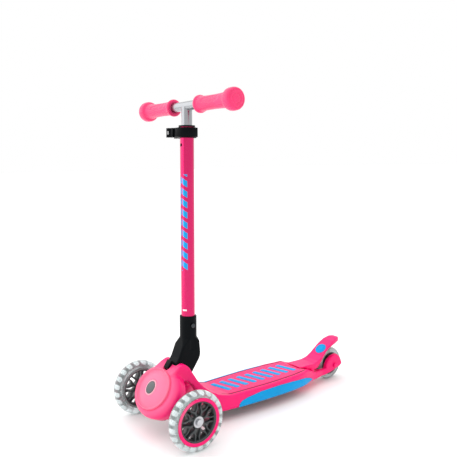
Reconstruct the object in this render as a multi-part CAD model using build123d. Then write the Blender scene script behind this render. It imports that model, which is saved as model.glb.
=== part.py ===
from build123d import *
import math
import os

# Child's three-wheel kick scooter: two wheels in front on a lean-to-steer truck,
# one behind, a folding stem, a telescopic handlebar and a foot brake.
# Millimetres. X is the rider's left, Y points to the rear, Z is up, ground at Z = 0.

# overall
foot_y = -172.65  # where the raked stem axis meets the ground
stem_rake = 1.27
front_axle_ahead = 55.8
wheelbase = 475.9
half_track = 113.7

# front wheels
front_tyre_r = 59.0
front_tyre_w = 24.0
front_ring_r = 44.5
front_core_r = 40.0
spoke_count = 7
light_count = 20
light_out_r = 56.0
axle_r = 4.0
axle_head_r = 6.5
bearing_r = 11.0
bearing_w = 7.0
hub_r = 13.0

# rear wheel
rear_tyre_r = 40.0
rear_tyre_w = 22.0
rear_core_r = 27.0
fork_slot = 26.0

# steering
king_tilt = 35.0
king_rise = 14.0
king_r = 4.0
truck_boss_r = 15.0
truck_boss_l = 30.0
arm_half_l = 99.5
arm_h = 17.0
arm_w = 18.0

# front shell, an oval cup round the king pin
cup_half_w = 73.0
cup_half_h = 53.0
cup_back = 10.0
cup_front = 42.0
wall = 3.5
face_half_w = 53.0
face_half_h = 43.0
face_peak = 50.0
button_r = 13.0
bezel_w = 3.0
button_travel = 4.0
button_t = 6.0
lock_pin_up = 10.5
lock_pin_r = 2.0
nut_bore_r = 11.0
face_seat = 1.0

# deck board
deck_top = 57.5
deck_bottom = 26.0
neck_half_w = 35.0
fork_half_w = 27.0
inlay_t = 2.0
inlay_proud = 0.8
groove_w = 2.4
groove_deep = 1.5
groove_in = 9.0
mark_count = 9
mark_pitch = 24.0
mark_t = 0.6
mark_half_l = 27.0
mark_w = 12.5
mark_slant = 14.0

# folding joint
pivot_up = 54.0
pivot_ahead = 8.0
pivot_r = 4.0
elbow_boss_r = 23.3
elbow_half_w = 17.5
slot_half_w = 18.3
fold_gap = 0.9
leg_top = 156.0
leg_round = 4.0
neck_blend = 32.0
pivot_end = 30.0

# stem tubes
outer_r = 14.3
outer_bore = 12.3
outer_low = 156.0
outer_top = 622.0
holder_r = 17.8
holder_top = 233.0
inner_r = 11.1
inner_wall = 1.5
inner_low = 412.0
bar_z = 664.0
bar_r = 9.6
bush_low = 597.0
bush_flange_r = 16.8
snap_z = 432.0
snap_r = 3.0
stop_hole_z = 586.0

# handlebar
bar_half_l = 156.0
grip_in = 46.0
grip_out = 166.5
grip_r = 15.2
grip_flange_r = 17.6
grip_knob_r = 21.5
knob_l = 22.0

# clamp
clamp_low = 600.0
clamp_h = 21.0
clamp_r = 19.5
lever_x = -24.0
lever_y = -24.5
lever_in_r = 20.6
lever_t = 5.6
clamp_bolt_r = 2.5

# brake
brake_pin_y = 338.0
brake_pin_z = 46.0
brake_pin_r = 2.5
brake_half_w = 24.0
badge_r = 14.0

# clearances
run = 0.06
seat = 0.02
gap = 0.5


# ---- frames ----------------------------------------------------------------

tilt = math.radians(king_tilt)
front_axle_y = foot_y - front_axle_ahead
rear_axle_y = front_axle_y + wheelbase
king_y = front_axle_y + king_rise * math.sin(tilt)
king_z = front_tyre_r + king_rise * math.cos(tilt)


def along(ahead, up):
    """Side-view point (y, z) given in king-pin terms: along the pin, and square to it."""
    y = king_y - ahead * math.cos(tilt) + up * math.sin(tilt)
    z = king_z + ahead * math.sin(tilt) + up * math.cos(tilt)
    return (y, z)


def king_plane(ahead, up=0.0):
    y, z = along(ahead, up)
    return Plane(origin=(0, y, z), x_dir=(1, 0, 0), z_dir=(0, -math.cos(tilt), math.sin(tilt)))


def stem_y(z):
    return foot_y + z * math.tan(math.radians(stem_rake))


def stem_plane(z):
    """Plane square to the raked stem at height z."""
    rake = math.radians(stem_rake)
    return Plane(
        origin=(0, stem_y(z), z),
        x_dir=(1, 0, 0),
        z_dir=(0, math.sin(rake), math.cos(rake)),
    )


def side(points, half_w):
    """Prism of a side-view outline; points are aft of the stem's foot, and heights."""
    pts = [(foot_y + y, z) for y, z in points]
    face = make_face(Polyline(*pts, close=True))
    return extrude(Plane.YZ * face, half_w, both=True)


def side_abs(points, half_w):
    face = make_face(Polyline(*points, close=True))
    return extrude(Plane.YZ * face, half_w, both=True)


def rounded_outline(points, corners):
    """Outline with some corners rounded; corners gives a radius for a point's place in the list."""
    face = make_face(Polyline(*points, close=True))
    for place, r in corners.items():
        y, z = points[place]
        near = [v for v in face.vertices() if abs(v.X - y) + abs(v.Y - z) < 0.01]
        face = fillet(near, r)
    return face


def rod(plane, r, l):
    """Cylinder starting on a plane and running along its normal."""
    return plane * Cylinder(r, l, align=(Align.CENTER, Align.CENTER, Align.MIN))


def tube(plane, r, bore, l):
    return rod(plane, r, l) - rod(plane.offset(-1), bore, l + 2)


def cross(y, z, r, x0, x1):
    """Round bar along X between x0 and x1."""
    plane = Plane(origin=(x0, y, z), x_dir=(0, 1, 0), z_dir=(1, 0, 0))
    return rod(plane, r, x1 - x0)


def cross_tube_at(y, z, r, bore, x0, x1):
    return cross(y, z, r, x0, x1) - cross(y, z, bore, x0 - 1, x1 + 1)


def spin(profile, y, z):
    """Solid of revolution about the line through (y, z) along X; profile is (x, r)."""
    face = make_face(Polyline(*profile, close=True))
    solid = revolve(Plane.XY * face, Axis.X)
    return Pos(0, y, z) * solid


def spring(plane, coil_r, wire_r, pitch, height):
    path = Helix(pitch=pitch, height=height, radius=coil_r)
    start = Plane(origin=path @ 0, z_dir=path % 0)
    return plane * sweep(start * Circle(wire_r), path=path)


def mirrored(solid):
    return mirror(solid, Plane.YZ)


def save(name, shape):
    solids = shape.solids()
    keep = Compound(children=list(solids)) if len(solids) > 1 else solids[0]
    export_step(keep, f"parts/{name}.step")


# ---- deck ------------------------------------------------------------------

pivot_y, pivot_z = along(pivot_ahead, pivot_up)

plan_stations = [
    (-75.0, 0.0),
    (0.0, 3.0),
    (32.0, 13.0),
    (70.0, 19.0),
    (120.0, 22.0),
    (250.0, 22.0),
    (300.0, 14.0),
    (340.0, 0.0),
    (372.0, -8.0),
    (450.0, -8.0),
]


def half_plan(extra=0.0):
    """Left half of the board's top-view outline, widened by extra."""
    edge = [(neck_half_w + dw + extra, foot_y + y) for y, dw in plan_stations]
    outline = [
        Spline(*edge, tangents=[(0, 1), (0, 1)]),
        Line(edge[-1], (0, edge[-1][1])),
        Line((0, edge[-1][1]), (0, edge[0][1])),
        Line((0, edge[0][1]), edge[0]),
    ]
    return extrude(make_face(outline), 200)


def plan(extra=0.0):
    half = half_plan(extra)
    return half + mirrored(half)


body_side = [
    (-62, 126),
    (-45, 136.5),
    (-34, 141.5),
    (-26, 141.5),
    (-17, 134),
    (-8, 119),
    (1, 103),
    (13, 88),
    (29, 74),
    (47, 64),
    (75, deck_top),
    (302, deck_top),
    (325, 50),
    (350, 38),
    (388, 38),
    (399, 55),
    (414, 64),
    (429, 66),
    (439, 57),
    (446, 40),
    (440, 34),
    (423, 29),
    (405, 23.5),
    (389, 21),
    (350, 21),
    (300, 24),
    (60, deck_bottom),
    (30, 28),
    (12, 52),
    (-40, 90),
]

inlay_side = [
    (94, 26.5),
    (95, 33),
    (102, 39),
    (118, 43),
    (156, 48),
    (204, 49),
    (247, 47),
    (296, 42),
    (318, 35),
    (332, 27),
    (296, 25.5),
]


def cup_shell(shrink, back, front):
    """Oval cup about the king pin, rounded toward the front."""
    depth = front - back
    rings = [(0.0, 3.0, 2.0), (0.45, 0.0, 0.0), (0.75, 1.0, 0.8), (0.92, 6.0, 4.5), (1.0, 14.0, 8.5)]
    faces = []
    for share, less_w, less_h in rings:
        oval = Ellipse(cup_half_w - less_w - shrink, cup_half_h - less_h - shrink)
        faces.append(king_plane(back + depth * share, -2.0) * oval)
    return loft(faces)


def face_dome(shrink=0.0):
    """Domed oval face of the cup, between the cup's rim and the peak."""
    rise = face_peak - cup_front + face_seat
    oval = Ellipse(face_half_w - shrink, face_half_h - shrink)
    top = Ellipse(face_half_w * 0.45, face_half_h * 0.45)
    mid = Ellipse(face_half_w * 0.84, face_half_h * 0.84)
    base = king_plane(cup_front - face_seat)
    return loft([base * oval, base.offset(rise * 0.72) * mid, base.offset(rise) * top])


def truck_room():
    """Space under the neck and behind the cup where the truck swings."""
    low = along(cup_back, -62.0)
    high = along(cup_back, 36.0)
    tail = [(-23, 105.5), (-12, 97), (-4, 86), (14, 50), (26, 20)]
    pts = [low, high] + [(foot_y + y, z) for y, z in tail] + [(low[0], 10.0)]
    room = side_abs(pts, 120)
    spine = king_plane(-truck_boss_l / 2 - gap - 60) * Box(28, 200, 120)
    behind = spine & side([(-70, 0), (60, 0), (60, 95), (-70, 95)], 60)
    return room - behind


def stem_slot():
    """Room between the cheeks for the elbow at rest and folded back."""
    up = [along(pivot_ahead + elbow_boss_r + fold_gap, pivot_up + dv) for dv in (0, 60)]
    pts = up + [(foot_y + 70, up[1][1]), (foot_y + 70, 78.5), (foot_y - 16, 71.8)]
    pts = pts + [(pivot_y, pivot_z - 20)]
    slot = side_abs(pts, slot_half_w)
    ring = cross(pivot_y, pivot_z, elbow_boss_r + fold_gap, -slot_half_w, slot_half_w)
    return slot + ring


def fold_button(room=0.0, travel=0.0):
    """Release tab in front of the elbow; with room and travel, the pocket it slides in."""
    tall = 18.0 + travel
    ahead = pivot_ahead + elbow_boss_r + 6.0
    block = king_plane(ahead, pivot_up + 11.0 - tall / 2)
    return block * Box(16 + 2 * room, tall + 2 * room, 6 + 2 * room)


def deck():
    board = side(body_side, 80) & plan()
    cup = cup_shell(0, cup_back, cup_front)
    solid = board + cup
    solid = solid - cup_shell(wall, cup_back - 2, cup_front - wall)
    solid = solid + rod(king_plane(truck_boss_l / 2 + gap), truck_boss_r - 1, 24)
    solid = solid - truck_room()
    solid = solid - stem_slot()
    solid = solid - face_dome()
    pin_room = king_plane(-70)
    solid = solid - rod(pin_room, king_r + seat, 140)
    solid = solid - rod(king_plane(-52), 8.0, 14)
    solid = solid - rod(king_plane(cup_front - 12), nut_bore_r, 30)
    solid = solid - rod(king_plane(truck_boss_l / 2, lock_pin_up), lock_pin_r + run, 40)
    solid = solid - cross(pivot_y, pivot_z, pivot_r + seat, -60, pivot_end + 0.2)
    wheel_slot = Pos(0, rear_axle_y, rear_tyre_r) * Box(fork_slot, 92, 120)
    solid = solid - wheel_slot
    solid = solid - cross(rear_axle_y, rear_tyre_r, axle_r + seat, -60, 60)
    solid = solid - brake_room()
    pin_y = foot_y + brake_pin_y
    solid = solid - cross(pin_y, brake_pin_z, brake_pin_r + seat, -60, 60)
    band = side(inlay_side, 80) - plan(-inlay_t)
    solid = solid - band
    solid = solid - fold_button(0.4, 3.0)
    solid = solid - top_groove()
    solid = solid - marks(0)
    solid = solid - under_hollow()
    for x, y in plate_screw_spots():
        solid = solid - rod(Plane.XY.offset(deck_bottom + 1) * Pos(x, y, 0), 1.6 + seat, 12)
    return max(solid.solids(), key=lambda s: s.volume)


def top_groove():
    ring = plan(-groove_in) - plan(-groove_in - groove_w)
    return ring & (Pos(0, foot_y + 185, deck_top) * Box(200, 240, 2 * groove_deep))


def marks(lift):
    """Raised grip marks in a row along the middle of the board."""
    out = None
    for i in range(mark_count):
        y = foot_y + 86 + i * mark_pitch
        bar = RectangleRounded(2 * mark_half_l, mark_w, mark_w / 4, rotation=mark_slant)
        pad = Pos(0, y, deck_top - mark_t + lift) * extrude(bar, mark_t + 0.4)
        out = pad if out is None else out + pad
    return out


def under_hollow():
    """Ribbed hollow under the board, closed by a plate."""
    out = None
    for i in range(3):
        y = foot_y + 100 + i * 76
        box = Pos(0, y, deck_bottom + 13) * Box(84, 68, 18)
        out = box if out is None else out + box
    plate = Pos(0, foot_y + 176, deck_bottom) * Box(92.4, 236.4, 8)
    return out + plate


def plate_screw_spots():
    spots = []
    for y in (62, 138, 214, 290):
        for x in (-30, 30):
            spots.append((x, foot_y + y))
    return spots


def under_plate():
    plate = Pos(0, foot_y + 176, deck_bottom + 2.4) * Box(92, 236, 3)
    for x, y in plate_screw_spots():
        plate = plate - rod(Plane.XY.offset(0) * Pos(x, y, 0), 1.6 + seat, 60)
    return plate


def under_screws():
    out = None
    for x, y in plate_screw_spots():
        base = Plane.XY.offset(deck_bottom - 0.7) * Pos(x, y, 0)
        screw = rod(base, 3.2, 1.6) + rod(base, 1.6, 12)
        out = screw if out is None else out + screw
    return out


def side_inlay():
    band = plan(inlay_proud) - plan(-inlay_t)
    piece = side(inlay_side, 80) & band
    return piece & (Pos(50, 0, 40) * Box(100, 900, 200))


# ---- front shell -----------------------------------------------------------


def cover_face():
    dome = face_dome(0.15)
    floor = king_plane(cup_front - face_seat)
    dome = dome - rod(floor.offset(-1), button_r + bezel_w + 0.1, 30)
    return dome


def lock_bezel():
    base = king_plane(cup_front - face_seat)
    return tube(base, button_r + bezel_w, button_r + 0.3, face_peak - cup_front + face_seat + 0.8)


def lock_button():
    """Steering-lock button with its off-centre pin; the pin stops short of the truck."""
    back = face_peak + 1.5 - button_t
    disc = rod(king_plane(back), button_r, button_t)
    tip = truck_boss_l / 2 + button_travel + 2.0
    return disc + rod(king_plane(tip, lock_pin_up), lock_pin_r, back - tip + 1)


def under_cover():
    """Dark inner cup edge just behind the painted cup."""
    faces = []
    for ahead, less in ((cup_back - 7.5, 9.0), (cup_back - 0.2, 3.0)):
        faces.append(king_plane(ahead, -2) * Ellipse(cup_half_w - less, cup_half_h - less))
    skirt = loft(faces)
    inner = []
    for ahead, less in ((cup_back - 8.0, 11.5), (cup_back + 1.0, 5.0)):
        inner.append(king_plane(ahead, -2) * Ellipse(cup_half_w - less, cup_half_h - less))
    skirt = skirt - loft(inner)
    keep = king_plane(cup_back - 3, -62) * Box(150, 40, 30)
    return max((skirt & keep).solids(), key=lambda s: s.volume)


def kingpin():
    shank = rod(king_plane(-42), king_r, 42 + cup_front - 6)
    return shank + rod(king_plane(-42 - 5), 6.8, 5)


def kingpin_nut():
    base = king_plane(cup_front - 11.9)
    nut = extrude(base * RegularPolygon(6.5, 6), 5)
    return nut - rod(base.offset(-1), king_r + seat, 8)


# ---- steering truck --------------------------------------------------------


def steering_truck():
    boss = rod(king_plane(-truck_boss_l / 2), truck_boss_r, truck_boss_l)
    bar = king_plane(0, -king_rise) * Box(2 * arm_half_l, arm_h, arm_w)
    bar = fillet(bar.edges().filter_by(Axis.X), 5)
    web = king_plane(0, -king_rise + 8) * Box(80, 12, 14)
    solid = boss + bar + web
    solid = solid - rod(king_plane(-40), king_r + 2.0, 80)
    for s in (-1, 1):
        x0, x1 = sorted((s * 70, s * 110))
        solid = solid - cross(front_axle_y, front_tyre_r, axle_r + seat, x0, x1)
    return solid


def kingpin_bushes():
    out = None
    for ahead in (-truck_boss_l / 2, truck_boss_l / 2 - 10):
        bush = tube(king_plane(ahead), king_r + 2.0 - seat, king_r + run, 10)
        out = bush if out is None else out + bush
    return out


def steering_spring():
    return spring(king_plane(truck_boss_l / 2 + gap + 1.4), truck_boss_r + 2.2, 0.9, 2.6, 10.4)


def front_axle(s):
    x0, x1 = sorted((s * 72, s * (half_track + front_tyre_w / 2 - 1)))
    shank = cross(front_axle_y, front_tyre_r, axle_r, x0, x1)
    h0, h1 = sorted((s * (half_track + 9.6), s * (half_track + 14.0)))
    return shank + cross(front_axle_y, front_tyre_r, axle_head_r, h0, h1)


def front_axles():
    return front_axle(-1) + front_axle(1)


def axle_spacers():
    out = None
    for s in (-1, 1):
        x0, x1 = sorted((s * (arm_half_l + 0.02), s * (half_track - 9.3)))
        ring = cross_tube_at(front_axle_y, front_tyre_r, 6.4, axle_r + seat, x0, x1)
        out = ring if out is None else out + ring
    return out


def dynamo_cores():
    """Fixed magnet rings on the axles that light the wheels as they turn."""
    out = None
    for s in (-1, 1):
        x0, x1 = sorted((s * half_track - 1.6, s * half_track + 1.6))
        ring = cross_tube_at(front_axle_y, front_tyre_r, 7.4, axle_r + seat, x0, x1)
        out = ring if out is None else out + ring
    return out


# ---- front wheels ----------------------------------------------------------


def wheel_place(s):
    return Pos(s * half_track, front_axle_y, front_tyre_r)


def front_tyre(s):
    half = front_tyre_w / 2
    r = front_tyre_r
    c = s * half_track
    pts = [
        (c - half + 2, front_ring_r + 0.1),
        (c - half, front_ring_r + 3),
        (c - half, r - 8),
        (c - half + 2.5, r - 3.2),
        (c - half + 6.5, r - 0.6),
        (c, r),
        (c + half - 6.5, r - 0.6),
        (c + half - 2.5, r - 3.2),
        (c + half, r - 8),
        (c + half, front_ring_r + 3),
        (c + half - 2, front_ring_r + 0.1),
    ]
    body = spin(pts, front_axle_y, front_tyre_r)
    return body - lights(s, 0.15)


def lights(s, extra=0.0):
    """Lamp capsules set in the clear tread."""
    out = None
    low = front_ring_r + 0.2 - 6 * extra
    high = light_out_r + extra
    for i in range(light_count):
        turn = Rot(360.0 * i / light_count, 0, 0)
        block = Box(12 + 2 * extra, high - low, 7 + 2 * extra)
        lamp = wheel_place(s) * turn * Pos(0, (high + low) / 2, 0) * block
        out = lamp if out is None else out + lamp
    return out


def front_ring(s):
    half = front_tyre_w / 2
    c = s * half_track
    pts = [
        (c - half + 0.6, front_core_r + 0.1),
        (c - half + 0.6, front_ring_r),
        (c + half - 0.6, front_ring_r),
        (c + half - 0.6, front_core_r + 0.1),
    ]
    return spin(pts, front_axle_y, front_tyre_r)


def front_core(s):
    c = s * half_track
    x0, x1 = c - 9.2, c + 9.2
    rim = cross_tube_at(front_axle_y, front_tyre_r, front_core_r, front_core_r - 5, c - 10, c + 10)
    hub = cross(front_axle_y, front_tyre_r, hub_r, x0, x1)
    core = rim + hub
    for i in range(spoke_count):
        turn = 360.0 * i / spoke_count
        stem = Pos(0, 17, 0) * Box(12, 14, 5.4)
        fork = Pos(0, 29, 4.4) * Rot(24, 0, 0) * Box(11, 18, 3.6)
        fork2 = Pos(0, 29, -4.4) * Rot(-24, 0, 0) * Box(11, 18, 3.6)
        spoke = stem + fork + fork2
        core = core + wheel_place(s) * Rot(turn, 0, 0) * spoke
    core = core - cross(front_axle_y, front_tyre_r, 8.0, x0 - 3, x1 + 3)
    for a, b in ((x0 - 1, x0 + bearing_w), (x1 - bearing_w, x1 + 1)):
        core = core - cross(front_axle_y, front_tyre_r, bearing_r + seat, a, b)
    trim = cross(front_axle_y, front_tyre_r, front_core_r, c - 10, c + 10)
    return core & trim


def bearing_pair(y, z, centre, half, shaft):
    out = None
    for a in (centre - half, centre + half - bearing_w):
        ring = cross_tube_at(y, z, bearing_r, shaft + run, a, a + bearing_w)
        out = ring if out is None else out + ring
    return out


# ---- rear wheel ------------------------------------------------------------


def rear_tyre():
    half = rear_tyre_w / 2
    r = rear_tyre_r
    pts = [
        (-half + 1, rear_core_r + 0.1),
        (-half, rear_core_r + 3),
        (-half, r - 7),
        (-half + 2.2, r - 2.6),
        (-half + 6, r - 0.5),
        (0, r),
        (half - 6, r - 0.5),
        (half - 2.2, r - 2.6),
        (half, r - 7),
        (half, rear_core_r + 3),
        (half - 1, rear_core_r + 0.1),
    ]
    return spin(pts, rear_axle_y, rear_tyre_r)


def rear_core():
    rim = cross_tube_at(rear_axle_y, rear_tyre_r, rear_core_r, rear_core_r - 4, -9.5, 9.5)
    hub = cross(rear_axle_y, rear_tyre_r, hub_r, -9.2, 9.2)
    core = rim + hub
    for i in range(spoke_count):
        spoke = Pos(0, 18, 0) * Box(9, 14, 5)
        core = core + Pos(0, rear_axle_y, rear_tyre_r) * Rot(360.0 * i / spoke_count, 0, 0) * spoke
    core = core - cross(rear_axle_y, rear_tyre_r, 8.0, -12, 12)
    for a, b in ((-10.2, -9.2 + bearing_w), (9.2 - bearing_w, 10.2)):
        core = core - cross(rear_axle_y, rear_tyre_r, bearing_r + seat, a, b)
    return core


def rear_spacers():
    out = None
    for s in (-1, 1):
        x0, x1 = sorted((s * 9.3, s * (fork_slot / 2 - 0.02)))
        ring = cross_tube_at(rear_axle_y, rear_tyre_r, 6.4, axle_r + seat, x0, x1)
        out = ring if out is None else out + ring
    return out


def rear_axle():
    shank = cross(rear_axle_y, rear_tyre_r, axle_r, -fork_half_w - 6, fork_half_w + 1)
    return shank + cross(rear_axle_y, rear_tyre_r, axle_head_r - 0.5, fork_half_w + 0.1, fork_half_w + 3.6)


def rear_axle_nut():
    start = (-fork_half_w - 0.1, rear_axle_y, rear_tyre_r)
    plane = Plane(origin=start, x_dir=(0, 1, 0), z_dir=(-1, 0, 0))
    nut = extrude(plane * RegularPolygon(7, 6), 5.5)
    return nut - rod(plane.offset(-1), axle_r + seat, 9)


# ---- brake -----------------------------------------------------------------

brake_top = [
    (304, 58.5),
    (330, 57.5),
    (352, 57.5),
    (366, 60.5),
    (380, 68),
    (394, 79),
    (408, 89.5),
    (424, 98),
    (440, 103),
    (449, 103.5),
    (455, 100),
    (456, 95),
]
brake_low = [
    (452, 92.5),
    (438, 92),
    (424, 88.5),
    (410, 84),
    (398, 77.4),
    (388, 68.6),
    (378, 56),
    (364, 44),
    (346, 41),
    (332, 41),
    (322, 52.5),
    (304, 56.2),
]
brake_plan = [(30, 290), (brake_half_w, 350), (20.5, 395), (18, 425), (15.5, 438), (11, 448), (5, 455)]


def brake_room():
    """Pocket in the rear of the board for the brake's root."""
    pocket = [(300, 59.5), (300, 55.6), (321, 51.6), (327, 38), (345, 36), (392, 36), (392, 80), (300, 80)]
    return side(pocket, brake_half_w + 3)


def rear_brake():
    right = [(x, foot_y + y) for x, y in brake_plan]
    left = [(-x, y) for x, y in reversed(right)]
    outline = make_face([Spline(*right), Line(right[-1], left[0]), Spline(*left), Line(left[-1], right[0])])
    solid = side(brake_top + brake_low, brake_half_w) & extrude(outline, 150)
    y = foot_y + brake_pin_y
    solid = solid - cross(y, brake_pin_z, brake_pin_r + run, -60, 60)
    solid = solid - rod(badge_plane(-2.2), badge_r + 0.2, 12)
    return solid - Pos(0, y, brake_pin_z) * Box(18, 15, 15)


def badge_plane(lift):
    plane = Plane(origin=(0, foot_y + 396.5, 80.9), x_dir=(1, 0, 0), z_dir=(0, -0.6, 0.8))
    return plane.offset(lift)


def brake_badge():
    disc = rod(badge_plane(-2.2), badge_r, 2.6)
    ring = tube(badge_plane(-0.4), badge_r * 0.8, badge_r * 0.62, 2.0)
    return disc - ring


def brake_pin():
    return cross(foot_y + brake_pin_y, brake_pin_z, brake_pin_r, -33, 33)


def brake_spring():
    plane = Plane(origin=(-7, foot_y + brake_pin_y, brake_pin_z), x_dir=(0, 1, 0), z_dir=(1, 0, 0))
    return spring(plane, 4.4, 0.8, 2.0, 14)


# ---- stem ------------------------------------------------------------------


def elbow_leg():
    """Leg of the elbow with a rounded back, tapering up into the round tube holder."""
    edge = pivot_ahead + elbow_boss_r
    back = pivot_ahead - elbow_boss_r
    top = leg_top + neck_blend
    pts = [
        along(edge, pivot_up),
        along(edge, 76.0),
        (foot_y - 13.5, top),
        (foot_y + 21.5, top),
        (foot_y + 24.5, leg_top - 10),
        along(back, pivot_up + 14),
        along(back, pivot_up),
    ]
    leg = extrude(Plane.YZ * rounded_outline(pts, {4: 28.0}), elbow_half_w, both=True)
    leg = leg + cross(pivot_y, pivot_z, elbow_boss_r, -elbow_half_w, elbow_half_w)
    leg = fillet(leg.edges().filter_by(lambda e: abs(abs(e.center().X) - elbow_half_w) < 0.01), leg_round)
    taper = Cone(40, holder_r - 0.3, neck_blend, align=(Align.CENTER, Align.CENTER, Align.MIN))
    below = Pos(0, foot_y, leg_top - 100) * Box(200, 200, 200)
    return leg & (below + stem_plane(leg_top) * taper)


def stem_elbow():
    """Black folding elbow: socket for the tube above, round pivot boss below."""
    solid = rod(stem_plane(leg_top - 4), holder_r, holder_top - leg_top + 4) + elbow_leg()
    solid = solid - rod(stem_plane(outer_low), outer_r + seat, 200)
    solid = solid - cross(pivot_y, pivot_z, pivot_r + run, -40, 40)
    for s in (-1, 1):
        rib = Pos(s * holder_r, stem_y(190), 192) * Box(2.0, 12, 58)
        solid = solid - rib
    solid = solid - cross(stem_y(214), 214, 2.5 + seat, -30, 30)
    pawl_room = rod(king_plane(pivot_ahead + 10, pivot_up + 8), 2.7, 20)
    return solid - pawl_room


def fold_pawl():
    return rod(king_plane(pivot_ahead + 10.4, pivot_up + 8), 2.4, 12.6)


def pivot_pin():
    """Pressed in from the right; its left end stops inside the cheek."""
    head = cross(pivot_y, pivot_z, 6.5, -neck_half_w - 4.6, -neck_half_w - 2.4)
    return head + cross(pivot_y, pivot_z, pivot_r, -neck_half_w - 2.5, pivot_end)


def outer_tube():
    length = outer_top - outer_low
    body = tube(stem_plane(outer_low), outer_r, outer_bore, length)
    body = body - cross(stem_y(214), 214, 2.5 + seat, -30, 30)
    hole = Plane(origin=(0, stem_y(stop_hole_z), stop_hole_z), x_dir=(1, 0, 0), z_dir=(0, -1, 0))
    body = body - rod(hole, snap_r + 0.4, 30)
    slit = Pos(-outer_r, stem_y(610), 610) * Box(8, 2.0, 30)
    return body - slit


def holder_bolt():
    shank = cross(stem_y(214), 214, 2.5, -holder_r - 1, holder_r + 1)
    return shank + cross(stem_y(214), 214, 4.6, holder_r + 0.4, holder_r + 2.4)


def holder_nut():
    return cross_tube_at(stem_y(214), 214, 4.4, 2.5 + seat, -holder_r - 3.4, -holder_r - 0.4)


def tube_bushing():
    sleeve = rod(stem_plane(bush_low), outer_bore - seat, outer_top - bush_low + 0.5)
    cap = rod(stem_plane(outer_top + 0.02), bush_flange_r, 3)
    return sleeve + cap - rod(stem_plane(bush_low - 5), inner_r + run, 60)


def clamp_bolt_plane(aft):
    """Start of the clamp bolt's line, a distance aft of the stem's axis."""
    z = clamp_low + clamp_h / 2
    return Plane(origin=(lever_x - 1, stem_y(z) + aft, z), x_dir=(1, 0, 0), z_dir=(0, 1, 0))


def clamp_collar():
    base = stem_plane(clamp_low)
    ring = rod(base, clamp_r, clamp_h)
    ears = base * Pos(-25, 0, clamp_h / 2) * Box(24, 17, clamp_h)
    body = ring + ears
    body = body - rod(base.offset(-2), outer_r + seat, clamp_h + 4)
    body = body - base * Pos(-27, 0, clamp_h / 2) * Box(30, 2.4, clamp_h + 2)
    return body - rod(clamp_bolt_plane(-30.0), clamp_bolt_r + 0.1, 60)


def clamp_bolt():
    return rod(clamp_bolt_plane(-17.5), clamp_bolt_r, 30)


def clamp_nut():
    start = clamp_bolt_plane(8.6)
    nut = extrude(start * RegularPolygon(4.6, 6), 4.2)
    return nut - rod(start.offset(-1), clamp_bolt_r + seat, 8)


def cam_pin():
    return pin_at(0.8, clamp_h - 1.6, 2.6)


def pin_at(lift, length, r):
    plane = stem_plane(clamp_low).offset(lift)
    return rod(plane * Pos(lever_x, lever_y, 0), r, length)


def clamp_washer():
    """Saddle between the cam and the collar's front ear."""
    z = clamp_low + clamp_h / 2
    plate = Pos(lever_x - 1, stem_y(z) - 11.0, z) * Box(13, 3.6, 15)
    return plate - rod(clamp_bolt_plane(-30.0), clamp_bolt_r + seat, 60)


def clamp_lever():
    """Cam head on its pin, and an arm curved round the collar."""
    base = stem_plane(clamp_low)
    low = 1.2
    tall = clamp_h - 2 * low
    band = base * Pos(0, 0, low + tall / 2) * (
        Cylinder(lever_in_r + lever_t, tall) - Cylinder(lever_in_r, tall + 2)
    )
    wedge_pts = [(-60, -60), (-12, -14), (0, 0), (60, 26), (60, -60)]
    wedge = extrude(make_face(Polyline(*wedge_pts, close=True)), 100)
    arm = band & (base * wedge)
    head = pin_at(low, tall, 8.4)
    link = base * Pos(-16.5, -24.0, low + tall / 2) * Box(14, 9, tall)
    keep_out = base * Pos(0, 0, 0) * Cylinder(lever_in_r, 3 * clamp_h)
    body = arm + head + link - keep_out
    mid = clamp_h / 2
    notch = base * Pos(lever_x - 4, lever_y + 5, mid) * Box(16, 26, 7.4)
    body = body - notch
    return max((body - pin_at(-3, clamp_h + 6, 2.6 + run)).solids(), key=lambda s: s.volume)


# ---- handlebar -------------------------------------------------------------


def bar_y():
    return stem_y(bar_z)


def inner_tube():
    length = bar_z - inner_low - 2
    body = tube(stem_plane(inner_low), inner_r, inner_r - inner_wall, length)
    body = body - cross(bar_y(), bar_z, bar_r + seat, -30, 30)
    hole = Plane(origin=(0, stem_y(snap_z), snap_z), x_dir=(1, 0, 0), z_dir=(0, -1, 0))
    return body - rod(hole, snap_r + run, 20)


def cross_tube():
    return cross_tube_at(bar_y(), bar_z, bar_r, bar_r - inner_wall, -bar_half_l, bar_half_l)


def grip():
    """Moulded grip: inner flange, slender body, round end knob, closed end."""
    knob = grip_out - knob_l
    bore = bar_r + seat
    pts = [
        (grip_in, bore),
        (grip_in, grip_flange_r - 1.5),
        (grip_in + 1.5, grip_flange_r),
        (grip_in + 5.5, grip_flange_r),
        (grip_in + 9.0, grip_r),
        (grip_in + 30.0, grip_r - 1.2),
        (grip_in + 55.0, grip_r - 1.4),
        (knob - 10.0, grip_r - 0.2),
        (knob - 2.0, grip_r + 1.0),
        (knob + 3.0, grip_knob_r - 2.5),
        (knob + 7.0, grip_knob_r),
        (grip_out - 6, grip_knob_r),
        (grip_out - 1.5, grip_knob_r - 3),
        (grip_out, grip_knob_r - 7),
        (grip_out, 0),
        (bar_half_l + 0.2, 0),
        (bar_half_l + 0.2, bore),
    ]
    return spin(pts, bar_y(), bar_z)


def snap_button():
    reach = outer_bore - 0.35
    plane = Plane(origin=(0, stem_y(snap_z), snap_z), x_dir=(1, 0, 0), z_dir=(0, -1, 0))
    return rod(plane.offset(reach - 6.5), snap_r, 6.5)


def snap_spring():
    """Leaf spring inside the inner tube, behind the snap button."""
    z = snap_z - 8
    return Pos(0, stem_y(z) + 7.2, z) * Box(5, 0.8, 26)


# ---- build -----------------------------------------------------------------


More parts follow.
